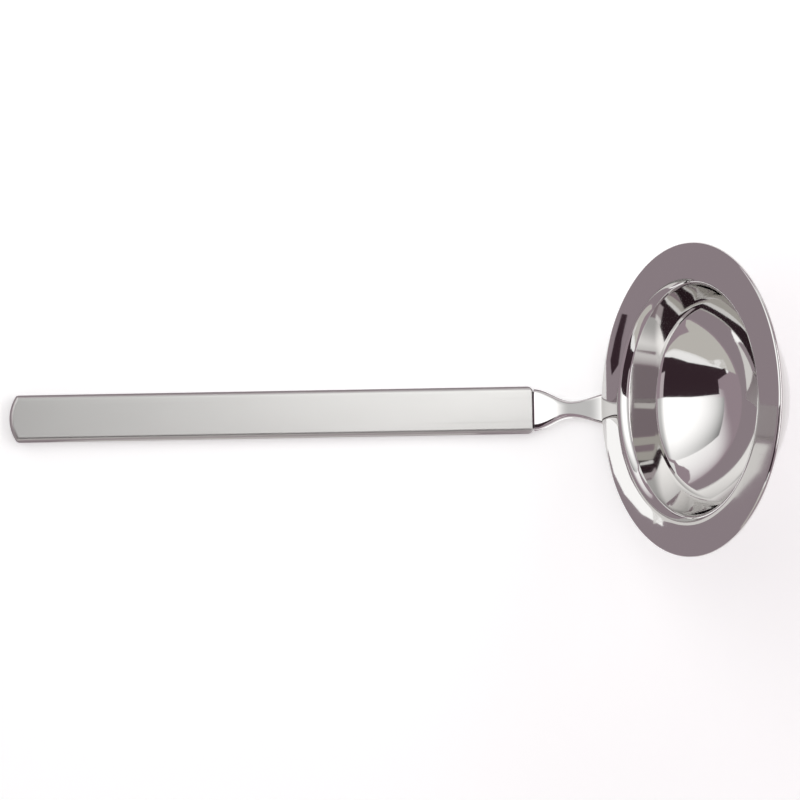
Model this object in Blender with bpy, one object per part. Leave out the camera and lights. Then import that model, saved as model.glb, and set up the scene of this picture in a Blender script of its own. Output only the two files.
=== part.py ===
"""Sauce ladle in stainless steel, lying on its back as it rests on a table.

A satin bar handle, a forged neck tenoned into it, a drawn bowl with a flat turned brim, and the
weld bead that joins the neck's pad to the bowl. Metres, +Z up, handle along -X, bowl at +X.
Heights start at the table, and distances along the handle start at its tail until the end of the
script, where an empty moves everything to the middle of the overall length.
"""

import functools
import math

import bmesh
import bpy
from mathutils import Vector

# Handle, a flat bar with a bowed tail
HANDLE_LENGTH = 0.1310
HANDLE_WIDTH = 0.0118
HANDLE_THICKNESS = 0.0040
HANDLE_EDGE_ROUND = 0.0013
SHOULDER_EDGE_ROUND = 0.0004
TAIL_BOW_RADIUS = 0.0103
TAIL_CORNER_RADIUS = 0.0010
SHOULDER_CORNER_RADIUS = 0.0014

# Tenon of the neck and its mortise in the handle
TENON_LENGTH = 0.0100
TENON_WIDTH = 0.0060
TENON_THICKNESS = 0.0018
TENON_CLEARANCE = 0.0002

# Neck, measured from the handle's shoulder
COLLAR_WIDTH = 0.0104
COLLAR_THICKNESS = 0.0037
WAIST_WIDTH = 0.0042
WAIST_DISTANCE = 0.0095
NECK_LENGTH_TO_BRIM = 0.0171
NECK_THICKNESS_AT_BRIM = 0.0024
NECK_CORNER_ROUND = 0.0008

# Pad at the neck's end, measured from the brim's edge
PAD_WIDTH = 0.0088
PAD_WIDEST_DISTANCE = 0.0040
PAD_LENGTH = 0.0150
PAD_RISE_LENGTH = 0.0085
PAD_THICKNESS = 0.0014

# Bowl, in one sheet: a round bottom, a corner, a straight wall, a flare and a brim
RIM_DIAMETER = 0.0760
SHEET = 0.0012
BOTTOM_RADIUS = 0.0318
BOTTOM_ANGLE = math.radians(50)
CORNER_RADIUS = 0.0072
WALL_ANGLE = math.radians(72.5)
WALL_LENGTH = 0.0065
FLARE_RADIUS = 0.0027
BRIM_ANGLE = math.radians(-2)
LAY_ANGLE = math.radians(60)

# Weld bead round the pad
BEAD_RADIUS = 0.0007
BEAD_START = 0.0032

# Gap between pieces that meet face to face
SEAM = 0.0003

QUARTER_TURN = math.pi / 2

# Facets
ARC_STEPS = 6
BOW_STEPS = 12
BOTTOM_STEPS = 7
CORNER_STEPS = 6
FLARE_STEPS = 8
BOWL_STEPS = 72
NECK_STATIONS = 34
TIP_CROWDING = 1.5
BEAD_SIDE_STATIONS = 4
BEAD_END_STATIONS = 34
SHARP_ANGLE = math.radians(35)
LEAST_CORNER = 0.0001
CORNER_SHARE = 0.45
MERGE_DISTANCE = 0.000001
HALVINGS = 20


def clear_scene():
    for old in list(bpy.data.objects):
        bpy.data.objects.remove(old, do_unlink=True)


def steel(name, colour, roughness):
    material = bpy.data.materials.new(name)
    material.use_nodes = True
    shader = material.node_tree.nodes["Principled BSDF"]
    shader.inputs["Base Color"].default_value = (*colour, 1.0)
    shader.inputs["Metallic"].default_value = 1.0
    shader.inputs["Roughness"].default_value = roughness
    return material


def add_object(name, data, material=None):
    piece = bpy.data.objects.new(name, data)
    bpy.context.scene.collection.objects.link(piece)
    if material:
        data.materials.append(material)
    return piece


def mesh_from_bmesh(name, shape):
    bmesh.ops.recalc_face_normals(shape, faces=shape.faces)
    mesh = bpy.data.meshes.new(name)
    shape.to_mesh(mesh)
    shape.free()
    mesh.shade_smooth()
    mesh.set_sharp_from_angle(angle=SHARP_ANGLE)
    return mesh


def loft(name, loops):
    """A closed skin through loops of equally many points, with a flat face on each end."""
    shape = bmesh.new()
    rings = [[shape.verts.new(point) for point in loop] for loop in loops]
    for ring, following in zip(rings, rings[1:]):
        for i, corner in enumerate(ring):
            j = (i + 1) % len(ring)
            shape.faces.new((corner, ring[j], following[j], following[i]))
    shape.faces.new(rings[0])
    shape.faces.new(rings[-1])
    return mesh_from_bmesh(name, shape)


def polar(centre, radius, turn):
    return centre[0] + radius * math.cos(turn), centre[1] + radius * math.sin(turn)


def arc(centre, radius, start, end, steps):
    """Points along an arc in a plane, angles in radians, both ends included."""
    return [polar(centre, radius, start + (end - start) * i / steps) for i in range(steps + 1)]


def ease(value):
    """Smooth step from 0 to 1, level at both ends."""
    value = min(max(value, 0.0), 1.0)
    return (1 - math.cos(math.pi * value)) / 2


def boolean_cut(piece, cutter):
    cutter.hide_render = True
    cutter.display_type = "WIRE"
    modifier = piece.modifiers.new(f"cut {cutter.name}", "BOOLEAN")
    modifier.operation = "DIFFERENCE"
    modifier.solver = "EXACT"
    modifier.object = cutter


def box_mesh(name, low, high):
    corners = ((low[1], low[2]), (high[1], low[2]), (high[1], high[2]), (low[1], high[2]))
    return loft(name, [[(x, y, z) for y, z in corners] for x in (low[0], high[0])])


# Handle

def bar_outline(inset, end_inset):
    """Plan of the handle, counter-clockwise, drawn in by the inset along its sides and its tail."""
    half = HANDLE_WIDTH / 2 - inset
    bow = TAIL_BOW_RADIUS - inset
    corner = max(TAIL_CORNER_RADIUS - inset, LEAST_CORNER)
    reach = math.sqrt((bow - corner) ** 2 - (half - corner) ** 2)
    bow_angle = math.atan2(half - corner, -reach)
    tail_corner = (TAIL_BOW_RADIUS - reach, half - corner)
    end_corner = max(SHOULDER_CORNER_RADIUS - inset, LEAST_CORNER)
    end = (HANDLE_LENGTH - end_inset - end_corner, half - end_corner)
    upper = arc(end, end_corner, 0, QUARTER_TURN, ARC_STEPS)
    upper += arc(tail_corner, corner, QUARTER_TURN, bow_angle, ARC_STEPS)
    bow_points = arc((TAIL_BOW_RADIUS, 0), bow, bow_angle, 4 * QUARTER_TURN - bow_angle, BOW_STEPS)[1:-1]
    lower = [(x, -y) for x, y in reversed(upper)]
    return upper + bow_points + lower


def handle_levels():
    """Pairs of height and share of the edge rounding, from the underside to the top face."""
    turns = [QUARTER_TURN * i / ARC_STEPS for i in range(ARC_STEPS + 1)]
    lower = [(HANDLE_EDGE_ROUND * (1 - math.cos(t)), 1 - math.sin(t)) for t in turns]
    return lower + [(HANDLE_THICKNESS - height, share) for height, share in reversed(lower)]


def make_handle(material):
    loops = []
    for height, share in handle_levels():
        outline = bar_outline(HANDLE_EDGE_ROUND * share, SHOULDER_EDGE_ROUND * share)
        loops.append([(x, y, height) for x, y in outline])
    handle = add_object("handle", loft("handle", loops), material)
    half = TENON_WIDTH / 2 + TENON_CLEARANCE
    rise = TENON_THICKNESS / 2 + TENON_CLEARANCE
    middle = COLLAR_THICKNESS / 2
    start = HANDLE_LENGTH - TENON_LENGTH - TENON_CLEARANCE
    mortise = box_mesh(
        "mortise", (start, -half, middle - rise), (HANDLE_LENGTH + TENON_LENGTH, half, middle + rise)
    )
    boolean_cut(handle, add_object("mortise", mortise))
    return handle


# Bowl

@functools.cache
def bowl_profile(offset):
    """Radius and height of the sheet's surface that lies the offset outside the inner one.

    It runs from the bottom's centre to the brim's edge. Height 0 is the brim's top at its edge.
    """
    bottom_end, wall = BOTTOM_ANGLE - QUARTER_TURN, WALL_ANGLE - QUARTER_TURN
    bottom_centre = (0, BOTTOM_RADIUS)
    corner_centre = polar(bottom_centre, BOTTOM_RADIUS - CORNER_RADIUS, bottom_end)
    wall_end = polar(polar(corner_centre, CORNER_RADIUS, wall), WALL_LENGTH, WALL_ANGLE)
    flare_centre = polar(wall_end, FLARE_RADIUS, wall)
    flare_start, flare_end = WALL_ANGLE + QUARTER_TURN, BRIM_ANGLE + QUARTER_TURN
    bottom = arc(bottom_centre, BOTTOM_RADIUS + offset, -QUARTER_TURN, bottom_end, BOTTOM_STEPS)
    corner = arc(corner_centre, CORNER_RADIUS + offset, bottom_end, wall, CORNER_STEPS)
    flare = arc(flare_centre, FLARE_RADIUS - offset, flare_start, flare_end, FLARE_STEPS)
    top = brim_end(polar(flare_centre, FLARE_RADIUS, flare_end))[1]
    points = bottom + corner[1:] + flare + [brim_end(flare[-1])]
    return [(radius, height - top) for radius, height in points]


def brim_end(start):
    """Where the brim, straight from its start, reaches the rounded edge."""
    radius = (RIM_DIAMETER - SHEET) / 2
    return radius, start[1] + (radius - start[0]) * math.tan(BRIM_ANGLE)


def rim_edge(margin):
    """Centre and points of the rounded edge that joins the sheet's two faces, grown by the margin."""
    inner, outer = bowl_profile(0)[-1], bowl_profile(SHEET)[-1]
    centre = ((inner[0] + outer[0]) / 2, (inner[1] + outer[1]) / 2)
    start, end = BRIM_ANGLE - QUARTER_TURN, BRIM_ANGLE + QUARTER_TURN
    return centre, arc(centre, SHEET / 2 + margin, start, end, ARC_STEPS)


def revolve(name, profile):
    """A closed solid from a profile that starts and ends on the axis."""
    shape = bmesh.new()
    points = [shape.verts.new((radius, 0, height)) for radius, height in profile]
    edges = [shape.edges.new(pair) for pair in zip(points, points[1:])]
    bmesh.ops.spin(
        shape, geom=points + edges, cent=(0, 0, 0), axis=(0, 0, 1), angle=4 * QUARTER_TURN, steps=BOWL_STEPS
    )
    bmesh.ops.remove_doubles(shape, verts=shape.verts, dist=MERGE_DISTANCE)
    return mesh_from_bmesh(name, shape)


def bowl_axis():
    """The way the bowl opens."""
    return Vector((-math.sin(LAY_ANGLE), 0, math.cos(LAY_ANGLE)))


def rim_centre():
    """The zero of the bowl's profile, set so that the brim's lowest edge just clears the neck."""
    edge, _ = rim_edge(0)
    across = Vector((math.cos(LAY_ANGLE), 0, math.sin(LAY_ANGLE)))
    lowest = Vector((brim_x() + SHEET / 2, 0, NECK_THICKNESS_AT_BRIM + SEAM + SHEET / 2))
    return lowest + across * edge[0] - bowl_axis() * edge[1]


def stand_in_pose(piece):
    piece.location = rim_centre()
    piece.rotation_euler = (0, -LAY_ANGLE, 0)


def make_bowl(material):
    _, edge = rim_edge(0)
    profile = bowl_profile(SHEET)[:-1] + edge + bowl_profile(0)[-2::-1]
    profile[0] = (0, profile[0][1])
    profile[-1] = (0, profile[-1][1])
    bowl = add_object("bowl", revolve("bowl", profile), material)
    stand_in_pose(bowl)
    return bowl


def make_bowl_space():
    """Everything the bowl and its inside take up, and the seam around it, to cut the neck's pad."""
    lower_edge = rim_edge(SEAM)[1][:ARC_STEPS // 2 + 1]
    outer = bowl_profile(SHEET + SEAM)[:-1]
    above = RIM_DIAMETER / 2
    profile = outer + lower_edge + [(lower_edge[-1][0], above), (0, above)]
    profile[0] = (0, profile[0][1])
    space = add_object("bowl_space", revolve("bowl_space", profile))
    stand_in_pose(space)
    return space


def inside_bowl(point, offset):
    """Whether a point is above the surface that lies the offset outside the bowl's inner one."""
    from_centre = point - rim_centre()
    height = from_centre.dot(bowl_axis())
    radius = (from_centre - bowl_axis() * height).length
    profile = bowl_profile(offset)
    for (r0, z0), (r1, z1) in zip(profile, profile[1:]):
        if radius <= r1:
            return height > z0 + (z1 - z0) * (radius - r0) / (r1 - r0)
    return False


def underside(x, y, offset):
    """Height at which a line straight up from the table first meets that surface."""
    low, high, top = 0.0, 0.0, rim_centre().z
    while high < top and not inside_bowl(Vector((x, y, high)), offset):
        low, high = high, high + SHEET / 2
    for _ in range(HALVINGS):
        middle = (low + high) / 2
        if inside_bowl(Vector((x, y, middle)), offset):
            high = middle
        else:
            low = middle
    return high


# Neck

def brim_x():
    return HANDLE_LENGTH + NECK_LENGTH_TO_BRIM


def neck_half_width(x):
    """Plan of the neck: collar, waist, then the pad with its round end."""
    waist = HANDLE_LENGTH + WAIST_DISTANCE
    widest = brim_x() + PAD_WIDEST_DISTANCE
    tip = brim_x() + PAD_LENGTH
    if x < waist:
        share = ease((x - HANDLE_LENGTH) / WAIST_DISTANCE)
        return (COLLAR_WIDTH + (WAIST_WIDTH - COLLAR_WIDTH) * share) / 2
    if x < widest:
        share = ease((x - waist) / (widest - waist))
        return (WAIST_WIDTH + (PAD_WIDTH - WAIST_WIDTH) * share) / 2
    past = min((x - widest) / (tip - widest), 1.0)
    return PAD_WIDTH / 2 * math.sqrt(1 - past ** 2)


def neck_top(x):
    """Upper face of the forging: it dips to pass under the brim, then rises into the bowl's space."""
    dip_start = HANDLE_LENGTH + WAIST_DISTANCE / 2
    share = ease((x - dip_start) / (brim_x() - dip_start))
    dipped = COLLAR_THICKNESS + (NECK_THICKNESS_AT_BRIM - COLLAR_THICKNESS) * share
    rise = max(x - brim_x() - SHEET, 0.0) * math.tan(WALL_ANGLE)
    return min(dipped + rise, rim_centre().z)


def neck_bottom(x):
    """Lower face: flat on the table up to the brim, then swept up to run along the bowl's wall."""
    rise_start = brim_x() - SHEET
    rise_end = brim_x() + PAD_RISE_LENGTH
    along_wall = underside(max(x, rise_end), 0, SHEET) - PAD_THICKNESS
    return along_wall * ease((x - rise_start) / (rise_end - rise_start))


def section(x, half_width, low, high, corner):
    """A rounded rectangle across the neck. Where it is thin, the corners shrink with it."""
    corner = min(corner, CORNER_SHARE * (high - low), CORNER_SHARE * 2 * half_width)
    side, upper, lower = half_width - corner, high - corner, low + corner
    points = []
    for turn, centre in enumerate(((side, upper), (-side, upper), (-side, lower), (side, lower))):
        points += arc(centre, corner, turn * QUARTER_TURN, (turn + 1) * QUARTER_TURN, ARC_STEPS)
    return [(x, y, z) for y, z in points]


def make_neck(material, bowl_space):
    collar = HANDLE_LENGTH + SEAM
    tip = brim_x() + PAD_LENGTH - LEAST_CORNER
    middle = COLLAR_THICKNESS / 2
    tenon = (TENON_WIDTH / 2, middle - TENON_THICKNESS / 2, middle + TENON_THICKNESS / 2, TENON_CLEARANCE)
    loops = [section(HANDLE_LENGTH - TENON_LENGTH, *tenon), section(collar, *tenon)]
    for i in range(NECK_STATIONS):
        left = 1 - i / (NECK_STATIONS - 1)
        x = tip - (tip - collar) * left ** TIP_CROWDING
        loops.append(section(x, neck_half_width(x), neck_bottom(x), neck_top(x), NECK_CORNER_ROUND))
    neck = add_object("neck", loft("neck", loops), material)
    boolean_cut(neck, bowl_space)
    return neck


# Weld bead

def bead_path():
    """Centre of the bead, a steady distance from the pad's side and from the bowl's outer face."""
    away = BEAD_RADIUS + SEAM
    start, widest = brim_x() + BEAD_START, brim_x() + PAD_WIDEST_DISTANCE
    half_length, half_width = PAD_LENGTH - PAD_WIDEST_DISTANCE, PAD_WIDTH / 2
    side = []
    for i in range(BEAD_SIDE_STATIONS):
        x = start + (widest - start) * i / BEAD_SIDE_STATIONS
        side.append((x, neck_half_width(x) + away))
    round_end = []
    for i in range(BEAD_END_STATIONS + 1):
        turn = QUARTER_TURN * (1 - 2 * i / BEAD_END_STATIONS)
        on_pad = Vector((half_length * math.cos(turn), half_width * math.sin(turn)))
        outward = Vector((half_width * math.cos(turn), half_length * math.sin(turn))).normalized()
        centre = Vector((widest, 0)) + on_pad + away * outward
        round_end.append((centre.x, centre.y))
    plan = side + round_end + [(x, -y) for x, y in reversed(side)]
    return [(x, y, underside(x, y, SHEET + away)) for x, y in plan]


def make_weld_bead(material):
    curve = bpy.data.curves.new("weld_bead", "CURVE")
    curve.dimensions = "3D"
    curve.bevel_depth = BEAD_RADIUS
    curve.bevel_resolution = 2
    curve.use_fill_caps = True
    path = bead_path()
    spline = curve.splines.new("POLY")
    spline.points.add(len(path) - 1)
    for point, place in zip(spline.points, path):
        point.co = (*place, 1.0)
    spline.use_smooth = True
    return add_object("weld_bead", curve, material)


def belly_reach():
    """How far from the tail the bowl's belly reaches."""
    centre = rim_centre()
    reach = [
        centre.x + radius * math.cos(LAY_ANGLE) - height * math.sin(LAY_ANGLE)
        for radius, height in bowl_profile(SHEET)
    ]
    return max(reach)


def build():
    clear_scene()
    satin = steel("satin steel", (0.60, 0.595, 0.58), 0.36)
    polished = steel("polished steel", (0.68, 0.67, 0.66), 0.07)
    welded = steel("dressed weld", (0.58, 0.57, 0.56), 0.28)
    bowl_space = make_bowl_space()
    make_handle(satin)
    make_neck(polished, bowl_space)
    make_bowl(polished)
    make_weld_bead(welded)
    pieces = list(bpy.data.objects)
    ladle = add_object("ladle", None)
    for piece in pieces:
        piece.parent = ladle
    ladle.location.x = -belly_reach() / 2


build()
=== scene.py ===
"""Finished look of the sauce ladle: a satin bar, a polished neck and bowl, and a dressed weld."""

import functools
import math

import bmesh
import bpy
from mathutils import Euler, Matrix, Vector


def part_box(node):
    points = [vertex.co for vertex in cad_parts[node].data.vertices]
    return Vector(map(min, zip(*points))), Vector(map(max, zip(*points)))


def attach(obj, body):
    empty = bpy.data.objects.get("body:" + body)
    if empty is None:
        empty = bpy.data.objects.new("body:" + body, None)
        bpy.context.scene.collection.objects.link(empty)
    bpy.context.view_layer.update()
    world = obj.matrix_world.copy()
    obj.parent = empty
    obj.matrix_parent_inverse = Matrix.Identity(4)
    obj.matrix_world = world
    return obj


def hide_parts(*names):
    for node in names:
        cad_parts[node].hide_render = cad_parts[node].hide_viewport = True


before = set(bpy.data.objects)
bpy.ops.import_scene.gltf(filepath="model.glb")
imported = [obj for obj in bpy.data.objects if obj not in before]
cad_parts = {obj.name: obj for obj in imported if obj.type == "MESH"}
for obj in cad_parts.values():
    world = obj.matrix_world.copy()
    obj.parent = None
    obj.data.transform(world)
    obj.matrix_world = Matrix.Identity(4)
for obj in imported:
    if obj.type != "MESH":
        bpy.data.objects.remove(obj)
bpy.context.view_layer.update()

# Handle, a flat bar with a bowed tail. Distances along it start at its tail
HANDLE_LENGTH = 0.1310
HANDLE_WIDTH = 0.0118
HANDLE_THICKNESS = 0.0040
HANDLE_EDGE_ROUND = 0.0013
SHOULDER_EDGE_ROUND = 0.0004
TAIL_BOW_RADIUS = 0.0103
TAIL_CORNER_RADIUS = 0.0010
SHOULDER_CORNER_RADIUS = 0.0014

# Neck, from the shoulder, and its pad, from the brim
COLLAR_WIDTH = 0.0104
COLLAR_THICKNESS = 0.0037
WAIST_WIDTH = 0.0042
WAIST_DISTANCE = 0.0095
NECK_LENGTH_TO_BRIM = 0.0171
NECK_THICKNESS_AT_BRIM = 0.0024
NECK_CORNER_ROUND = 0.0008
PAD_WIDTH = 0.0088
PAD_WIDEST_DISTANCE = 0.0040
PAD_LENGTH = 0.0150
PAD_RISE_LENGTH = 0.0085
PAD_THICKNESS = 0.0014
TENON_LENGTH = 0.0100
TENON_WIDTH = 0.0060
TENON_THICKNESS = 0.0018

# Bowl, in one sheet: a round bottom, a corner, a straight wall, a flare and a brim
RIM_DIAMETER = 0.0760
SHEET = 0.0012
BOTTOM_RADIUS = 0.0318
BOTTOM_ANGLE = math.radians(50)
CORNER_RADIUS = 0.0072
WALL_ANGLE = math.radians(72.5)
WALL_LENGTH = 0.0065
FLARE_RADIUS = 0.0027
BRIM_ANGLE = math.radians(-2)
LAY_ANGLE = math.radians(60)

# Weld bead round the pad
BEAD_RADIUS = 0.0007
BEAD_START = 0.0032
BEAD_RIPPLE_LENGTH = 0.0007
BEAD_RIPPLE_DEPTH = 0.07
BEAD_RIPPLE_ROUNDING = 0.6

# Seam between pieces, the painted shade in the one at the shoulder, and the crown of the neck's
# top
SEAM = 0.0003
SEAM_DEPTH = 0.0006
GROOVE_START_GAP = 0.00002
SEAM_SHADE_FADE_START = 0.00003
SEAM_SHADE_FADE_END = 0.00001
CROWN_WIDTH = 0.0016
CROWN_SHARE = 0.6
CROWN_DROP = 0.00035

# Finishes. A noise is its scales, per metre along each axis, its detail and its roughness.
# A band is where a step climbs from 0 to 1
SATIN_COLOUR = (0.60, 0.595, 0.58)
SATIN_ROUGHNESS = 0.27
SATIN_UNEVENNESS = 0.06
GRIND = ((60.0, 9000.0, 9000.0), 3.0, 0.6)
GRIND_DEPTH = 0.000004
GRIND_PATCHES = ((40.0, 160.0, 160.0), 2.0, 0.5)
SCRATCHES = ((25.0, 2600.0, 2600.0), 1.0, 0.5)
SCRATCH_BAND = (0.68, 0.74)
SCRATCH_ROUGHNESS = 0.05
SCRATCH_DEPTH = 0.5
POLISH_COLOUR = (0.68, 0.67, 0.66)
POLISH_ROUGHNESS = 0.035
POLISH_UNEVENNESS = 0.03
HAZE = ((90.0, 90.0, 90.0), 3.0, 0.6)
HAIRLINES = ((900.0, 4000.0, 900.0), 2.0, 0.5)
HAIRLINE_BAND = (0.6, 0.75)
WAVES = ((120.0, 120.0, 120.0), 1.0, 0.4)
NECK_WAVE_HEIGHT = 0.000002
BOWL_WAVE_HEIGHT = 0.000001
# Painted shade: near-black colour on the floor of the seam's groove at the shoulder
SEAM_SHADE_COLOUR = (0.05, 0.03, 0.04)
WELD_COLOUR = (0.58, 0.57, 0.56)
WELD_ROUGHNESS = 0.2
WELD_GRAIN = ((2500.0, 2500.0, 2500.0), 4.0, 0.6)
WELD_GRAIN_DEPTH = 0.00002

# Camera, placed from the handle's tail
CAMERA_SENSOR = 36.0
CAMERA_LENS = 161.69
CAMERA_PLACE = (0.099126, -0.049580, 0.9)
CAMERA_TURN = (0.05859368, 0.00255778, -0.01764055)

# Floor and room
FLOOR_REACH = 3.0
FLOOR_COLOUR = (0.86, 0.86, 0.86)
FLOOR_GLOW = 0.36
ROOM_COLOUR = (0.40, 0.32, 0.36)
WHITE = (1.0, 1.0, 1.0)

# Cards of the studio. Outlines are in metres from the bowl's middle, towards the bowl and across
PANEL_HEIGHT = 0.30
PANEL = (
    (0.033, -0.02), (0.02, 0.10), (-0.02, 0.20), (-0.07, 0.30), (-0.13, 0.40),
    (-0.21, 0.50), (-0.32, 0.64), (-0.48, 0.90), (-0.7, 1.4), (-1.2, 2.6),
    (-3.0, 9.0), (-9.0, 9.0), (-9.0, 0.3), (-1.3, -0.1), (-0.6, -0.1),
)
PANEL_LEVEL = 1.39
PANEL_BRIGHTEST = (-0.32, 0.25, 0.0)
PANEL_LINE = (-0.62, 0.78, 0.0)
PANEL_SIDE = (0.78, 0.62, 0.0)
PANEL_HALF_WIDTH = 0.5
PANEL_WIDENING = 0.5
PANEL_WIDENS_FROM = 0.4
PANEL_SIDE_BAND = (0.1, 0.95)
PANEL_FADE = 0.55
PANEL_NEAR_BAND = (0.12, 0.34)
PANEL_NEAR_FADE = 0.2

DARK_HEIGHT = 0.29
DARK = (
    (0.033, -0.02), (-0.22, -0.02), (-0.61, -0.045), (-0.64, -0.18), (-1.07, -0.34),
    (-1.3, -0.42), (-1.3, -0.52), (-0.92, -0.39), (-0.57, -0.30), (-0.37, -0.252),
    (-0.25, -0.232), (-0.07, -0.25), (0.033, -0.28),
)
DARK_COLOUR = (0.045, 0.026, 0.034)
DARK_LIT_COLOUR = (0.62, 0.55, 0.58)
DARK_LIT_LENGTH_BAND = (-0.06, -0.05)
DARK_LIT_WIDTH_BAND = (-0.155, -0.145)

STRIPE = (
    (0.033, -0.20), (-0.37, -0.20), (-0.67, -0.28), (-1.27, -0.42), (-1.7, -0.56),
    (-1.7, -0.9), (-1.07, -0.62), (-0.77, -0.46), (-0.57, -0.375), (-0.27, -0.35),
    (0.033, -0.34),
)
STRIPE_LEVEL = 1.15
SIDE = (
    (0.033, -0.32), (-0.03, -0.42), (-0.13, -0.5), (-0.32, -0.64), (-0.6, -1.0),
    (-3.0, -9.0), (-9.0, -9.0), (-9.0, -2.5), (-1.7, -0.6), (-0.57, -0.34),
)
SIDE_COLOUR = (0.67, 0.65, 0.61)
FILL_HEIGHT = 1.0
FILL = ((0.45, -0.8), (1.2, -0.8), (1.2, 0.8), (0.45, 0.8))
FILL_LEVEL = 2.0
EDGE_FILL = ((-0.1, 0.5), (0.6, 0.5), (0.6, 1.5), (-0.1, 1.5))
EDGE_LEVEL = 1.0

LOW_HEIGHT = 0.10
LOW_PANEL = ((0.02, -0.005), (0.02, 0.05), (0.0, 0.12), (-0.23, 0.12), (-0.23, -0.005))
LOW_TAIL_LEVEL = 0.42
LOW_CLIMB = 1.4
LOW_CLIMB_START = -0.23
LOW_CLIMB_LENGTH = 0.18
LOW_DROP = 1.1
LOW_DROP_BAND = (-0.03, 0.008)
LOW_SIDE_FADE = 0.4
LOW_SIDE_BAND = (0.01, 0.12)
LOW_DARK = ((-0.014, -0.006), (-0.014, -0.065), (-0.05, -0.065), (-0.05, -0.006))

# Painted reflections: a glowing board and strips on the floor, which show in the steel and nowhere
# else. The grey board stands for a table, the dark strip is a painted shadow of the neck and
# handle, and the light strips are painted pools of light on the floor
BOARD_HEIGHT = 0.0003
# A mauve-grey glowing sheet under the ladle, a painted reflection of a table top
BOARD = ((-0.0265, -9.0), (-0.0265, 9.0), (-9.0, 9.0), (-9.0, -9.0))
BOARD_REFLECTION_COLOUR = (0.35, 0.29, 0.32)
STRIP_HEIGHT = 0.0004
# Painted shadow of the neck and handle on the floor: a near-black glowing strip that only the
# steel reflects
PAINTED_NECK_SHADOW = (
    (-0.029, 0.009), (-0.0285, 0.013), (-0.031, 0.019), (-0.0345, 0.0255),
    (-0.0375, 0.0255), (-0.0345, 0.019), (-0.0325, 0.012),
)
# Painted pool of light on the floor beside the neck, a glowing strip that only the steel reflects
STREAK = (
    (-0.026, 0.0), (-0.026, -0.009), (-0.029, -0.016), (-0.034, -0.0215),
    (-0.043, -0.027), (-0.056, -0.031), (-0.056, -0.0275), (-0.046, -0.023),
    (-0.038, -0.0175), (-0.034, -0.011), (-0.032, 0.0),
)
STREAK_LEVEL = 1.35
# Painted light: a pale glowing stretch of floor beside the handle, which only the steel reflects
TAIL_STREAK = (
    (-0.05, -0.0085), (-0.05, -0.030), (-0.085, -0.0285), (-0.12, -0.0245),
    (-0.145, -0.016), (-0.157, -0.007), (-0.12, -0.007),
)
TAIL_STREAK_COLOUR = (1.0, 0.98, 0.96)
TAIL_STREAK_LEVEL = 0.85

# Mesh making
QUARTER_TURN = math.pi / 2
FULL_TURN = 4 * QUARTER_TURN
LEAST_CORNER = 0.0001
CORNER_OF_THICKNESS = 0.45
CORNER_OF_HALF_WIDTH = 0.9
MERGE_DISTANCE = 0.000001
SHARP_ANGLE = math.radians(35)
HALVINGS = 24

# Facets
ROUND_STEPS = 12
TOP_STEPS = 24
BOW_STEPS = 48
SIDE_STATIONS = 24
SUPPORT_INSET = 0.00006
NECK_STATIONS = 150
TIP_CROWDING = 1.5
BOTTOM_STEPS = 40
CORNER_STEPS = 20
WALL_STEPS = 10
FLARE_STEPS = 24
BRIM_STEPS = 6
BOWL_TURN_STEPS = 288
BEAD_STATIONS = 240
BEAD_SIDE_STATIONS = 15
BEAD_SIDES = 24


class Field:
    """An output socket of a node tree, which can be written in sums and products."""

    def __init__(self, tree, socket):
        self.tree = tree
        self.socket = socket

    def _node(self, kind, operation, operands):
        node = self.tree.nodes.new(kind)
        node.operation = operation
        for place, operand in enumerate(operands):
            feed(self.tree, node.inputs[place], operand)
        return node

    def math(self, operation, *operands):
        node = self._node("ShaderNodeMath", operation, operands)
        return Field(self.tree, node.outputs[0])

    def vector(self, operation, *operands):
        node = self._node("ShaderNodeVectorMath", operation, operands)
        return Field(self.tree, node.outputs[0])

    def dot(self, direction):
        node = self._node("ShaderNodeVectorMath", "DOT_PRODUCT", (self, direction))
        return Field(self.tree, node.outputs["Value"])

    def __add__(self, other):
        return self.math("ADD", self, other)

    __radd__ = __add__

    def __sub__(self, other):
        return self.math("SUBTRACT", self, other)

    def __rsub__(self, other):
        return self.math("SUBTRACT", other, self)

    def __mul__(self, other):
        return self.math("MULTIPLY", self, other)

    __rmul__ = __mul__

    def __truediv__(self, other):
        return self.math("DIVIDE", self, other)

    def __rtruediv__(self, other):
        return self.math("DIVIDE", other, self)

    def __mod__(self, other):
        return self.math("FLOORED_MODULO", self, other)

    def __pow__(self, other):
        return self.math("POWER", self, other)

    def __abs__(self):
        return self.math("ABSOLUTE", self)

    def floor(self):
        return self.math("FLOOR", self)

    def sine(self):
        return self.math("SINE", self)

    def at_least(self, least):
        return self.math("MAXIMUM", self, least)

    def clipped(self):
        return self.math("MINIMUM", self.at_least(0.0), 1.0)

    def step(self, low, high):
        """0 below the low value, 1 above the high one, and a smooth climb between."""
        share = ((self - low) / (high - low)).clipped()
        return share * share * (3.0 - 2.0 * share)


def feed(tree, socket, value):
    if isinstance(value, Field):
        tree.links.new(value.socket, socket)
    else:
        socket.default_value = value


def add_node(tree, kind, settings=None, inputs=None, output=0):
    """Adds a node of any type, with its settings and the values of its sockets."""
    node = tree.nodes.new(kind)
    for name, value in (settings or {}).items():
        setattr(node, name, value)
    for name, value in (inputs or {}).items():
        feed(tree, node.inputs[name], value)
    return Field(tree, node.outputs[output])


def add_object(name, data):
    piece = bpy.data.objects.new(name, data)
    bpy.context.scene.collection.objects.link(piece)
    return piece


def polar(centre, radius, turn):
    return centre[0] + radius * math.cos(turn), centre[1] + radius * math.sin(turn)


def arc(centre, radius, start, end, steps):
    return [polar(centre, radius, start + (end - start) * i / steps) for i in range(steps + 1)]


def ease(value):
    value = min(max(value, 0.0), 1.0)
    return (1 - math.cos(math.pi * value)) / 2


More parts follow.
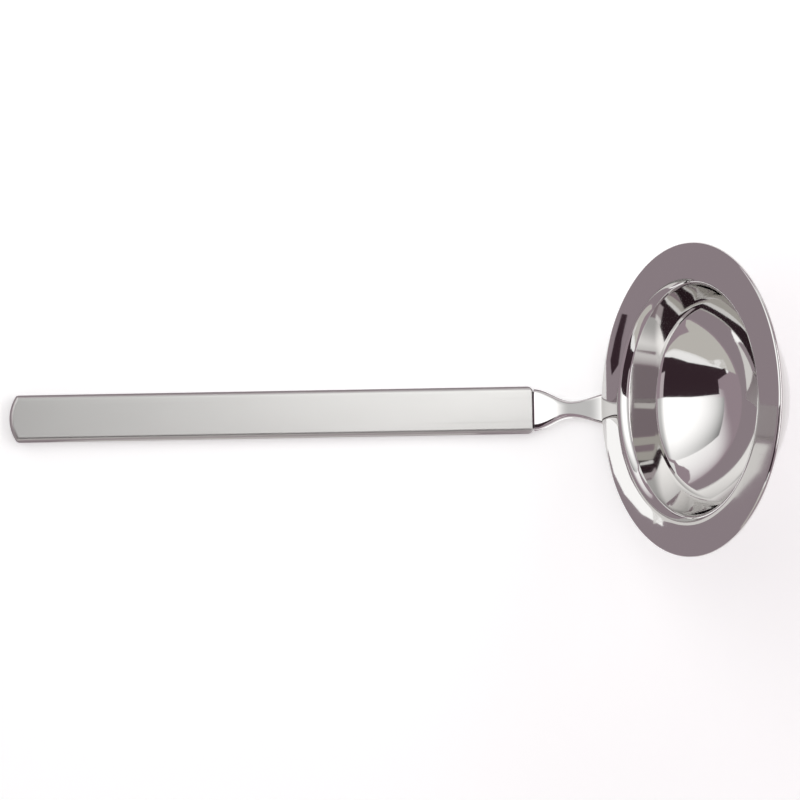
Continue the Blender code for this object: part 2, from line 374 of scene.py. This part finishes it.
def loft(name, loops):
    """A closed skin through loops of equally many points, with a flat face on each end."""
    shape = bmesh.new()
    rings = [[shape.verts.new(point) for point in loop] for loop in loops]
    for ring, following in zip(rings, rings[1:]):
        for i, corner in enumerate(ring):
            j = (i + 1) % len(ring)
            shape.faces.new((corner, ring[j], following[j], following[i]))
    shape.faces.new(rings[0])
    shape.faces.new(rings[-1])
    bmesh.ops.recalc_face_normals(shape, faces=shape.faces)
    mesh = bpy.data.meshes.new(name)
    shape.to_mesh(mesh)
    shape.free()
    mesh.shade_smooth()
    return mesh


def evaluated_mesh(piece):
    depsgraph = bpy.context.evaluated_depsgraph_get()
    return bpy.data.meshes.new_from_object(piece.evaluated_get(depsgraph), depsgraph=depsgraph)


# Handle

def bar_side(start, end):
    """Points along a straight side, with one close to each end to hold the corner's shading."""
    inner = [start + (end - start) * i / SIDE_STATIONS for i in range(1, SIDE_STATIONS)]
    return [start + SUPPORT_INSET, *inner, end - SUPPORT_INSET]


def bar_outline(inset, end_inset):
    """Plan of the handle, counter-clockwise, drawn in by the inset along its sides and tail."""
    half = HANDLE_WIDTH / 2 - inset
    bow = TAIL_BOW_RADIUS - inset
    corner = max(TAIL_CORNER_RADIUS - inset, LEAST_CORNER)
    reach = math.sqrt((bow - corner) ** 2 - (half - corner) ** 2)
    bow_angle = math.atan2(half - corner, -reach)
    tail_corner = (TAIL_BOW_RADIUS - reach, half - corner)
    end_corner = max(SHOULDER_CORNER_RADIUS - inset, LEAST_CORNER)
    end = (HANDLE_LENGTH - end_inset - end_corner, half - end_corner)
    upper = arc(end, end_corner, 0, QUARTER_TURN, ROUND_STEPS)
    upper += [(x, half) for x in reversed(bar_side(tail_corner[0], end[0]))]
    upper += arc(tail_corner, corner, QUARTER_TURN, bow_angle, ROUND_STEPS)
    bow_points = arc((TAIL_BOW_RADIUS, 0), bow, bow_angle, FULL_TURN - bow_angle, BOW_STEPS)
    lower = [(x, -y) for x, y in reversed(upper)]
    return upper + bow_points[1:-1] + lower


def handle_levels():
    """Pairs of height and share of the edge's rounding to draw in, from the underside up."""
    turns = [QUARTER_TURN * i / ROUND_STEPS for i in range(ROUND_STEPS + 1)]
    lower = [(HANDLE_EDGE_ROUND * (1 - math.cos(t)), 1 - math.sin(t)) for t in turns]
    inside = 1 + SUPPORT_INSET / HANDLE_EDGE_ROUND
    lower.insert(0, (0.0, inside))
    return lower + [(HANDLE_THICKNESS - height, share) for height, share in reversed(lower)]


def make_handle():
    loops = []
    for height, share in handle_levels():
        outline = bar_outline(HANDLE_EDGE_ROUND * share, SHOULDER_EDGE_ROUND * share)
        loops.append([(x, y, height) for x, y in outline])
    return loft("handle_bar", loops)


# Bowl

@functools.cache
def bowl_profile(offset):
    """Radius and height of the sheet's surface that lies the offset outside the inner one.

    It runs from the bottom's centre to the brim's edge. Height 0 is the brim's top at its edge.
    """
    bottom_end, wall = BOTTOM_ANGLE - QUARTER_TURN, WALL_ANGLE - QUARTER_TURN
    bottom_centre = (0, BOTTOM_RADIUS)
    corner_centre = polar(bottom_centre, BOTTOM_RADIUS - CORNER_RADIUS, bottom_end)
    wall_end = polar(polar(corner_centre, CORNER_RADIUS, wall), WALL_LENGTH, WALL_ANGLE)
    flare_centre = polar(wall_end, FLARE_RADIUS, wall)
    flare_start, flare_end = WALL_ANGLE + QUARTER_TURN, BRIM_ANGLE + QUARTER_TURN
    bottom = arc(bottom_centre, BOTTOM_RADIUS + offset, -QUARTER_TURN, bottom_end, BOTTOM_STEPS)
    corner = arc(corner_centre, CORNER_RADIUS + offset, bottom_end, wall, CORNER_STEPS)
    flare = arc(flare_centre, FLARE_RADIUS - offset, flare_start, flare_end, FLARE_STEPS)
    top = brim_end(polar(flare_centre, FLARE_RADIUS, flare_end))[1]
    points = bottom + corner[1:-1] + between(corner[-1], flare[0], WALL_STEPS)
    points += flare[1:-1] + between(flare[-1], brim_end(flare[-1]), BRIM_STEPS)
    return [(radius, height - top) for radius, height in points]


def between(start, end, steps):
    """Points along a straight line, closer together at its ends."""
    shares = [ease(i / steps) for i in range(steps + 1)]
    run, rise = end[0] - start[0], end[1] - start[1]
    return [(start[0] + run * share, start[1] + rise * share) for share in shares]


def brim_end(start):
    radius = (RIM_DIAMETER - SHEET) / 2
    return radius, start[1] + (radius - start[0]) * math.tan(BRIM_ANGLE)


def rim_edge(margin):
    """Centre and points of the sheet's rounded edge, grown by the margin."""
    inner, outer = bowl_profile(0)[-1], bowl_profile(SHEET)[-1]
    centre = ((inner[0] + outer[0]) / 2, (inner[1] + outer[1]) / 2)
    start, end = BRIM_ANGLE - QUARTER_TURN, BRIM_ANGLE + QUARTER_TURN
    return centre, arc(centre, SHEET / 2 + margin, start, end, ROUND_STEPS)


def bowl_axis():
    return Vector((-math.sin(LAY_ANGLE), 0, math.cos(LAY_ANGLE)))


def rim_centre():
    edge, _ = rim_edge(0)
    across = Vector((math.cos(LAY_ANGLE), 0, math.sin(LAY_ANGLE)))
    lowest = Vector((brim_x() + SHEET / 2, 0, NECK_THICKNESS_AT_BRIM + SEAM + SHEET / 2))
    return lowest + across * edge[0] - bowl_axis() * edge[1]


def bowl_pose():
    return Matrix.Translation(rim_centre()) @ Euler((0, -LAY_ANGLE, 0)).to_matrix().to_4x4()


def sheet_rows():
    """The whole section of the sheet, out along its outer face and back along its inner one."""
    _, edge = rim_edge(0)
    rows = bowl_profile(SHEET)[:-1] + edge + bowl_profile(0)[-2::-1]
    rows[0] = (0, rows[0][1])
    rows[-1] = (0, rows[-1][1])
    return rows


def new_tree(name, sockets):
    """A geometry tree with the named inputs, given as pairs of name and socket type."""
    tree = bpy.data.node_groups.new(name, "GeometryNodeTree")
    tree.interface.new_socket("Geometry", in_out="OUTPUT", socket_type="NodeSocketGeometry")
    tree.interface.new_socket("Geometry", in_out="INPUT", socket_type="NodeSocketGeometry")
    for label, kind in sockets:
        tree.interface.new_socket(label, in_out="INPUT", socket_type=kind)
    return tree


def close_tree(tree, geometry, material):
    """Ends a tree with its instances made real and its material set."""
    real = add_node(tree, "GeometryNodeRealizeInstances", inputs={"Geometry": geometry})
    dressed = add_node(
        tree, "GeometryNodeSetMaterial", inputs={"Geometry": real, "Material": material}
    )
    end = tree.nodes.new("NodeGroupOutput")
    feed(tree, end.inputs[0], dressed)


def run_tree(name, tree, start, values):
    """The plain mesh that the tree makes from the starting mesh with the given input values."""
    carrier = add_object(name, start)
    modifier = carrier.modifiers.new(name, "NODES")
    modifier.node_group = tree
    for item in tree.interface.items_tree:
        if item.in_out == "INPUT" and item.name in values:
            modifier[item.identifier] = values[item.name]
    mesh = evaluated_mesh(carrier)
    bpy.data.objects.remove(carrier)
    return mesh


def spin_tree(material, row_count):
    """Spins the starting mesh's points, a section in the XZ plane, round the Z axis."""
    tree = new_tree("spin the sheet", [("Turn steps", "NodeSocketInt")])
    start = tree.nodes.new("NodeGroupInput")
    section = Field(tree, start.outputs["Geometry"])
    steps = Field(tree, start.outputs["Turn steps"])
    columns = steps + 1
    grid = add_node(
        tree, "GeometryNodeMeshGrid", inputs={"Vertices X": row_count, "Vertices Y": columns}
    )
    index = add_node(tree, "GeometryNodeInputIndex")
    row = (index / columns).floor()
    turn = (index % columns) * FULL_TURN / steps
    place = add_node(tree, "GeometryNodeInputPosition")
    on_section = add_node(
        tree,
        "GeometryNodeSampleIndex",
        {"data_type": "FLOAT_VECTOR", "domain": "POINT"},
        {"Geometry": section, "Value": place, "Index": row},
    )
    spun = add_node(
        tree,
        "ShaderNodeVectorRotate",
        {"rotation_type": "Z_AXIS"},
        {"Vector": on_section, "Angle": turn},
    )
    skin = add_node(tree, "GeometryNodeSetPosition", inputs={"Geometry": grid, "Position": spun})
    closed = add_node(
        tree, "GeometryNodeMergeByDistance", inputs={"Geometry": skin, "Distance": MERGE_DISTANCE}
    )
    smooth = add_node(tree, "GeometryNodeSetShadeSmooth", inputs={"Geometry": closed})
    close_tree(tree, smooth, material)
    return tree


def make_bowl(material):
    rows = sheet_rows()
    section = bpy.data.meshes.new("sheet_section")
    section.from_pydata([(radius, 0, height) for radius, height in rows], [], [])
    tree = spin_tree(material, len(rows))
    mesh = run_tree("bowl_pressing", tree, section, {"Turn steps": BOWL_TURN_STEPS})
    mesh.transform(bowl_pose())
    return mesh


def inside_bowl(point, offset):
    """Whether a point is above the surface that lies the offset outside the bowl's inner one."""
    from_centre = point - rim_centre()
    height = from_centre.dot(bowl_axis())
    radius = (from_centre - bowl_axis() * height).length
    profile = bowl_profile(offset)
    for (r0, z0), (r1, z1) in zip(profile, profile[1:]):
        if radius <= r1:
            return height > z0 + (z1 - z0) * (radius - r0) / (r1 - r0)
    return False


def underside(x, y, offset):
    """Height at which a line straight up from the table first meets that surface."""
    low, high, top = 0.0, 0.0, rim_centre().z
    while high < top and not inside_bowl(Vector((x, y, high)), offset):
        low, high = high, high + SHEET / 2
    for _ in range(HALVINGS):
        middle = (low + high) / 2
        if inside_bowl(Vector((x, y, middle)), offset):
            high = middle
        else:
            low = middle
    return high


# Neck

def brim_x():
    return HANDLE_LENGTH + NECK_LENGTH_TO_BRIM


def neck_half_width(x):
    """Plan of the neck: collar, waist, then the pad with its round end."""
    waist = HANDLE_LENGTH + WAIST_DISTANCE
    widest = brim_x() + PAD_WIDEST_DISTANCE
    tip = brim_x() + PAD_LENGTH
    if x < waist:
        share = ease((x - HANDLE_LENGTH) / WAIST_DISTANCE)
        return (COLLAR_WIDTH + (WAIST_WIDTH - COLLAR_WIDTH) * share) / 2
    if x < widest:
        share = ease((x - waist) / (widest - waist))
        return (WAIST_WIDTH + (PAD_WIDTH - WAIST_WIDTH) * share) / 2
    past = min((x - widest) / (tip - widest), 1.0)
    return PAD_WIDTH / 2 * math.sqrt(1 - past ** 2)


def neck_top(x):
    dip_start = HANDLE_LENGTH + WAIST_DISTANCE / 2
    share = ease((x - dip_start) / (brim_x() - dip_start))
    dipped = COLLAR_THICKNESS + (NECK_THICKNESS_AT_BRIM - COLLAR_THICKNESS) * share
    rise = max(x - brim_x() - SHEET, 0.0) * math.tan(WALL_ANGLE)
    return min(dipped + rise, rim_centre().z)


def neck_bottom(x):
    rise_start = brim_x() - SHEET
    rise_end = brim_x() + PAD_RISE_LENGTH
    along_wall = underside(max(x, rise_end), 0, SHEET) - PAD_THICKNESS
    return along_wall * ease((x - rise_start) / (rise_end - rise_start))


def section(x, half_width, low, high, corner):
    """A rounded rectangle across the neck. Where it is thin, the corners shrink with it."""
    corner = min(corner, CORNER_OF_THICKNESS * (high - low), CORNER_OF_HALF_WIDTH * half_width)
    side, upper, lower = half_width - corner, high - corner, low + corner
    points = []
    centres = ((side, upper), (-side, upper), (-side, lower), (side, lower))
    for turn, centre in enumerate(centres):
        points += arc(centre, corner, turn * QUARTER_TURN, (turn + 1) * QUARTER_TURN, ROUND_STEPS)
        if turn == 0:
            points += [(side * (1 - 2 * i / TOP_STEPS), high) for i in range(1, TOP_STEPS)]
    return [(x, y, z) for y, z in points]


def crowned(loop, drop):
    """The section with its top falling away a little towards both sides."""
    half_width = max(y for _, y, _ in loop)
    low, high = min(z for _, _, z in loop), max(z for _, _, z in loop)
    fall = min(CROWN_WIDTH, CROWN_SHARE * half_width)
    points = []
    for x, y, z in loop:
        past = max(abs(y) - half_width + fall, 0.0) / fall
        points.append((x, y, z - drop * past ** 2 * (z - low) / (high - low)))
    return points


def bowl_space():
    """What the bowl, its inside and the seam around it take up, to cut the neck's pad."""
    lower_edge = rim_edge(SEAM)[1][:ROUND_STEPS // 2 + 1]
    above = RIM_DIAMETER / 2
    profile = bowl_profile(SHEET + SEAM)[:-1] + lower_edge
    profile += [(lower_edge[-1][0], above), (0, above)]
    profile[0] = (0, profile[0][1])
    shape = bmesh.new()
    points = [shape.verts.new((radius, 0, height)) for radius, height in profile]
    edges = [shape.edges.new(pair) for pair in zip(points, points[1:])]
    bmesh.ops.spin(
        shape,
        geom=points + edges,
        cent=(0, 0, 0),
        axis=(0, 0, 1),
        angle=FULL_TURN,
        steps=BOWL_TURN_STEPS,
    )
    bmesh.ops.remove_doubles(shape, verts=shape.verts, dist=MERGE_DISTANCE)
    bmesh.ops.recalc_face_normals(shape, faces=shape.faces)
    mesh = bpy.data.meshes.new("bowl_space")
    shape.to_mesh(mesh)
    shape.free()
    mesh.transform(bowl_pose())
    return mesh


def make_neck():
    collar = HANDLE_LENGTH + SEAM
    tip = brim_x() + PAD_LENGTH - LEAST_CORNER
    middle, half_tenon = COLLAR_THICKNESS / 2, TENON_THICKNESS / 2
    tenon = (TENON_WIDTH / 2, middle - half_tenon, middle + half_tenon, LEAST_CORNER)
    # The groove's floor at the shoulder, which the neck's finish paints near-black as shade
    painted_groove_top = COLLAR_THICKNESS - SEAM_DEPTH
    painted_groove = (COLLAR_WIDTH / 2 - SEAM_DEPTH, SEAM_DEPTH, painted_groove_top, NECK_CORNER_ROUND)
    shoulder = HANDLE_LENGTH + GROOVE_START_GAP
    loops = [section(HANDLE_LENGTH - TENON_LENGTH, *tenon), section(shoulder, *tenon)]
    loops += [section(shoulder, *painted_groove), section(collar, *painted_groove)]
    for i in range(NECK_STATIONS):
        left = 1 - i / (NECK_STATIONS - 1)
        x = tip - (tip - collar) * left ** TIP_CROWDING
        loop = section(x, neck_half_width(x), neck_bottom(x), neck_top(x), NECK_CORNER_ROUND)
        drop = CROWN_DROP * (1 - ease((x - collar) / (brim_x() - collar)))
        loops.append(crowned(loop, drop))
    neck = add_object("neck_blank", loft("neck_blank", loops))
    cutter = add_object("bowl_space", bowl_space())
    cut = neck.modifiers.new("bowl's space", "BOOLEAN")
    cut.operation = "DIFFERENCE"
    cut.solver = "EXACT"
    cut.object = cutter
    mesh = evaluated_mesh(neck)
    mesh.set_sharp_from_angle(angle=SHARP_ANGLE)
    bpy.data.objects.remove(neck)
    bpy.data.objects.remove(cutter)
    return mesh


# Weld bead

def bead_path():
    """Centre of the bead, a steady distance from the pad's side and from the bowl's outer face."""
    away = BEAD_RADIUS + SEAM
    start, widest = brim_x() + BEAD_START, brim_x() + PAD_WIDEST_DISTANCE
    half_length, half_width = PAD_LENGTH - PAD_WIDEST_DISTANCE, PAD_WIDTH / 2
    side = []
    for i in range(BEAD_SIDE_STATIONS):
        x = start + (widest - start) * i / BEAD_SIDE_STATIONS
        side.append((x, neck_half_width(x) + away))
    round_end = []
    for i in range(BEAD_STATIONS + 1):
        turn = QUARTER_TURN * (1 - 2 * i / BEAD_STATIONS)
        on_pad = Vector((half_length * math.cos(turn), half_width * math.sin(turn)))
        outward = Vector((half_width * math.cos(turn), half_length * math.sin(turn))).normalized()
        centre = Vector((widest, 0)) + on_pad + away * outward
        round_end.append((centre.x, centre.y))
    plan = side + round_end + [(x, -y) for x, y in reversed(side)]
    return [Vector((x, y, underside(x, y, SHEET + away))) for x, y in plan]


def bead_tree(material):
    """Lays a round bead along the starting mesh's line, with a welder's ripples."""
    sockets = [("Radius", "NodeSocketFloat"), ("Ripple length", "NodeSocketFloat")]
    sockets += [("Ripple depth", "NodeSocketFloat"), ("Sides", "NodeSocketInt")]
    tree = new_tree("lay the bead", sockets)
    start = tree.nodes.new("NodeGroupInput")
    line, radius, length, depth, sides = (Field(tree, start.outputs[i]) for i in range(5))
    curve = add_node(tree, "GeometryNodeMeshToCurve", inputs={"Mesh": line})
    along = add_node(tree, "GeometryNodeSplineParameter", output=1)
    ripple = abs((along * math.pi / length).sine()) ** BEAD_RIPPLE_ROUNDING
    thickness = radius * (1.0 - depth * (1.0 - ripple))
    ring = add_node(
        tree, "GeometryNodeCurvePrimitiveCircle", inputs={"Resolution": sides, "Radius": 1.0}
    )
    skin = add_node(
        tree,
        "GeometryNodeCurveToMesh",
        inputs={"Curve": curve, "Profile Curve": ring, "Fill Caps": True, "Scale": thickness},
    )
    smooth = add_node(tree, "GeometryNodeSetShadeSmooth", inputs={"Geometry": skin})
    close_tree(tree, smooth, material)
    return tree


def make_bead(material):
    path = bead_path()
    line = bpy.data.meshes.new("bead_line")
    line.from_pydata(path, [(i, i + 1) for i in range(len(path) - 1)], [])
    values = {
        "Radius": BEAD_RADIUS,
        "Ripple length": BEAD_RIPPLE_LENGTH,
        "Ripple depth": BEAD_RIPPLE_DEPTH,
        "Sides": BEAD_SIDES,
    }
    mesh = run_tree("weld_ripples", bead_tree(material), line, values)
    mesh.set_sharp_from_angle(angle=2 * SHARP_ANGLE)
    return mesh


# Finishes

def new_material(name):
    material = bpy.data.materials.new(name)
    material.use_nodes = True
    tree = material.node_tree
    return material, tree, tree.nodes["Principled BSDF"]


def steel(name, colour):
    material, tree, shader = new_material(name)
    shader.inputs["Base Color"].default_value = (*colour, 1.0)
    shader.inputs["Metallic"].default_value = 1.0
    return material, tree, shader


def stretched_noise(tree, place, scales, detail, roughness):
    """Noise at a place on the piece, with a scale of its own along each axis."""
    scaled = place.vector("MULTIPLY", place, scales)
    return add_node(
        tree,
        "ShaderNodeTexNoise",
        {"noise_dimensions": "3D"},
        {"Vector": scaled, "Scale": 1.0, "Detail": detail, "Roughness": roughness},
    )


def object_place(tree):
    return add_node(tree, "ShaderNodeTexCoord", output="Object")


def place_parts(tree):
    parts = tree.nodes.new("ShaderNodeSeparateXYZ")
    feed(tree, parts.inputs[0], object_place(tree))
    return Field(tree, parts.outputs["X"]), Field(tree, parts.outputs["Y"])


def blend(tree, share, first, second):
    """A colour between two, the first where the share is 0."""
    return add_node(
        tree,
        "ShaderNodeMix",
        {"data_type": "RGBA"},
        {0: share, 6: (*first, 1.0), 7: (*second, 1.0)},
        output=2,
    )


def raise_surface(tree, shader, height, distance):
    bump = add_node(
        tree, "ShaderNodeBump", inputs={"Height": height, "Distance": distance, "Strength": 1.0}
    )
    feed(tree, shader.inputs["Normal"], bump)


def satin_steel():
    """Fine grind along the bar, a little uneven, with a few longer scratches."""
    material, tree, shader = steel("satin steel", SATIN_COLOUR)
    place = object_place(tree)
    grind = stretched_noise(tree, place, *GRIND)
    patches = stretched_noise(tree, place, *GRIND_PATCHES)
    scratches = stretched_noise(tree, place, *SCRATCHES).step(*SCRATCH_BAND)
    roughness = SATIN_ROUGHNESS + SATIN_UNEVENNESS * grind + SATIN_UNEVENNESS * patches
    feed(tree, shader.inputs["Roughness"], roughness + SCRATCH_ROUGHNESS * scratches)
    raise_surface(tree, shader, grind - SCRATCH_DEPTH * scratches, GRIND_DEPTH)
    return material


def polished_steel(name, wave_height):
    """Mirror polish with the faint unevenness and hairlines that buffing leaves."""
    material, tree, shader = steel(name, POLISH_COLOUR)
    place = object_place(tree)
    haze = stretched_noise(tree, place, *HAZE)
    hairlines = stretched_noise(tree, place, *HAIRLINES).step(*HAIRLINE_BAND)
    roughness = POLISH_ROUGHNESS + POLISH_UNEVENNESS * haze + POLISH_UNEVENNESS * hairlines
    feed(tree, shader.inputs["Roughness"], roughness)
    waves = stretched_noise(tree, place, *WAVES)
    raise_surface(tree, shader, waves, wave_height)
    return material, tree, shader


def polished_neck():
    """The same polish, with painted shade, a near-black colour, in the groove at the handle's end.
    """
    material, tree, shader = polished_steel("polished neck", NECK_WAVE_HEIGHT)
    along, _ = place_parts(tree)
    collar = tail_x() + HANDLE_LENGTH + SEAM
    # Painted shade: near-black on the groove's floor and the tenon, fading out just before the
    # collar
    painted_groove = 1.0 - along.step(collar - SEAM_SHADE_FADE_START, collar - SEAM_SHADE_FADE_END)
    feed(tree, shader.inputs["Base Color"], blend(tree, painted_groove, POLISH_COLOUR, SEAM_SHADE_COLOUR))
    return material


def dressed_weld():
    """Buffed filler metal, with a fine uneven grain."""
    material, tree, shader = steel("dressed weld", WELD_COLOUR)
    grain = stretched_noise(tree, object_place(tree), *WELD_GRAIN)
    feed(tree, shader.inputs["Roughness"], WELD_ROUGHNESS + WELD_ROUGHNESS * grain)
    raise_surface(tree, shader, grain, WELD_GRAIN_DEPTH)
    return material


# Pieces in the frame

def tail_x():
    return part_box("handle")[0].x


def place_piece(name, mesh, node, material):
    """Shows the mesh, in distances from the tail, in place of the CAD node."""
    mesh.name = name
    mesh.transform(Matrix.Translation((tail_x(), 0, 0)))
    if mesh_volume(mesh) < 0:
        mesh.flip_normals()
    mesh.materials.clear()
    mesh.materials.append(material)
    piece = add_object(name, mesh)
    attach(piece, "root")
    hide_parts(node)


def mesh_volume(mesh):
    shape = bmesh.new()
    shape.from_mesh(mesh)
    volume = shape.calc_volume(signed=True)
    shape.free()
    return volume


def build_ladle():
    satin = satin_steel()
    neck_polish = polished_neck()
    bowl_polish, _, _ = polished_steel("polished bowl", BOWL_WAVE_HEIGHT)
    weld = dressed_weld()
    place_piece("handle_bar", make_handle(), "handle", satin)
    place_piece("neck_forging", make_neck(), "neck", neck_polish)
    place_piece("bowl_pressing", make_bowl(bowl_polish), "bowl", bowl_polish)
    place_piece("weld_ripples", make_bead(weld), "weld_bead", weld)


# Studio

def make_camera():
    data = bpy.data.cameras.new("camera")
    data.sensor_width = CAMERA_SENSOR
    data.lens = CAMERA_LENS
    camera = add_object("camera", data)
    along, across, height = CAMERA_PLACE
    camera.location = (tail_x() + along, across, height)
    camera.rotation_euler = Euler(CAMERA_TURN)
    bpy.context.scene.camera = camera


def staged(name, corners, material):
    """A flat card of the studio, which isn't part of the ladle."""
    mesh = bpy.data.meshes.new(name)
    mesh.from_pydata([tuple(corner) for corner in corners], [], [tuple(range(len(corners)))])
    mesh.materials.append(material)
    card = add_object(name, mesh)
    return card


def make_floor():
    """Pale floor. It keeps the ladle's shadow and shows brighter, by the same amount all over."""
    material, tree, shader = new_material("pale floor")
    shader.inputs["Base Color"].default_value = (*FLOOR_COLOUR, 1.0)
    shader.inputs["Roughness"].default_value = 1.0
    shader.inputs["Specular IOR Level"].default_value = 0.0
    shader.inputs["Emission Strength"].default_value = FLOOR_GLOW
    path = tree.nodes.new("ShaderNodeLightPath")
    seen = Field(tree, path.outputs["Is Camera Ray"])
    seen += Field(tree, path.outputs["Is Glossy Ray"])
    seen += Field(tree, path.outputs["Is Transmission Ray"])
    feed(tree, shader.inputs["Emission Color"], seen.clipped())
    signs = ((-1, -1), (1, -1), (1, 1), (-1, 1))
    staged("floor", [(x * FLOOR_REACH, y * FLOOR_REACH, 0) for x, y in signs], material)


def glow(name, colour, strength=1.0):
    material, tree, shader = new_material(name)
    tree.nodes.remove(shader)
    emission = add_node(
        tree, "ShaderNodeEmission", inputs={"Color": (*colour, 1.0), "Strength": strength}
    )
    feed(tree, tree.nodes["Material Output"].inputs["Surface"], emission)
    return material


def shaded_glow(name, colour_of):
    """A glow whose colour over the card comes from a function of its node tree."""
    material = glow(name, WHITE)
    tree = material.node_tree
    feed(tree, tree.nodes["Emission"].inputs["Color"], colour_of(tree))
    return material


def overhead_card(name, height, outline, material):
    """A level card over the floor, which the camera doesn't see and which casts no shadow."""
    card = staged(name, [(x, y, 0) for x, y in outline], material)
    card.location = (tail_x() + rim_centre().x, 0, height)
    card.visible_camera = False
    card.visible_shadow = False
    return card


def panel_colour(tree):
    """Brightest beside the ladle, and fading to the room's colour along and across the panel."""
    place = object_place(tree)
    away = place.vector("SUBTRACT", place, PANEL_BRIGHTEST)
    along = away.dot(PANEL_LINE)
    across = -1.0 * away.dot(PANEL_SIDE)
    width = PANEL_HALF_WIDTH + PANEL_WIDENING * along.at_least(PANEL_WIDENS_FROM)
    level = 1.0 - (across / width).step(*PANEL_SIDE_BAND)
    level = level / (1.0 + PANEL_FADE * along.at_least(0.0))
    level = level * (1.0 - PANEL_NEAR_FADE * (-1.0 * along).step(*PANEL_NEAR_BAND))
    return blend(tree, level, ROOM_COLOUR, (PANEL_LEVEL, PANEL_LEVEL, PANEL_LEVEL))


def dark_colour(tree):
    """Nearly black, but half lit where it is nearest to the bowl and the panel."""
    x, y = place_parts(tree)
    lit = x.step(*DARK_LIT_LENGTH_BAND) * y.step(*DARK_LIT_WIDTH_BAND)
    return blend(tree, lit, DARK_COLOUR, DARK_LIT_COLOUR)


def low_colour(tree):
    """Dim over the handle's tail, bright over its other end, and dimmer again past the neck."""
    x, y = place_parts(tree)
    climb = ((x - LOW_CLIMB_START) / LOW_CLIMB_LENGTH).clipped()
    level = LOW_TAIL_LEVEL + LOW_CLIMB * climb - LOW_DROP * x.step(*LOW_DROP_BAND)
    return level * (1.0 - LOW_SIDE_FADE * y.step(*LOW_SIDE_BAND))


def make_world():
    world = bpy.data.worlds.new("room")
    bpy.context.scene.world = world
    world.use_nodes = True
    background = world.node_tree.nodes["Background"]
    background.inputs["Color"].default_value = (*ROOM_COLOUR, 1.0)
    background.inputs["Strength"].default_value = 1.0


def hang_cards():
    for name, height, outline, material in (
        ("white panel", PANEL_HEIGHT, PANEL, shaded_glow("panel glow", panel_colour)),
        ("dark card", DARK_HEIGHT, DARK, shaded_glow("dark card", dark_colour)),
        ("light stripe", PANEL_HEIGHT, STRIPE, glow("stripe glow", WHITE, STRIPE_LEVEL)),
        ("side panel", PANEL_HEIGHT, SIDE, glow("side glow", SIDE_COLOUR)),
        ("fill panel", FILL_HEIGHT, FILL, glow("fill glow", WHITE, FILL_LEVEL)),
        ("low panel", LOW_HEIGHT, LOW_PANEL, shaded_glow("low glow", low_colour)),
        ("edge panel", PANEL_HEIGHT, EDGE_FILL, glow("edge glow", WHITE, EDGE_LEVEL)),
        ("low dark card", LOW_HEIGHT, LOW_DARK, glow("low dark", DARK_COLOUR)),
    ):
        overhead_card(name, height, outline, material)


def lay_board():
    """Painted reflections: the glowing board and strips close over the floor, which only
    reflections show, with a painted shadow and painted pools of light among them.
    """
    tail_streak = glow("tail strip glow", TAIL_STREAK_COLOUR, TAIL_STREAK_LEVEL)
    for name, height, outline, material in (
        ("painted reflection board", BOARD_HEIGHT, BOARD, glow("painted reflection grey", BOARD_REFLECTION_COLOUR)),
        ("painted shadow strip", STRIP_HEIGHT, PAINTED_NECK_SHADOW, glow("painted shadow", DARK_COLOUR)),
        ("light strip", STRIP_HEIGHT, STREAK, glow("strip glow", WHITE, STREAK_LEVEL)),
        ("light tail strip", STRIP_HEIGHT, TAIL_STREAK, tail_streak),
    ):
        card = overhead_card(name, height, outline, material)
        card.visible_diffuse = False
        card.visible_transmission = False


def build_studio():
    make_camera()
    make_floor()
    make_world()
    hang_cards()
    lay_board()
    bpy.context.scene.view_settings.view_transform = "Standard"


build_ladle()
build_studio()
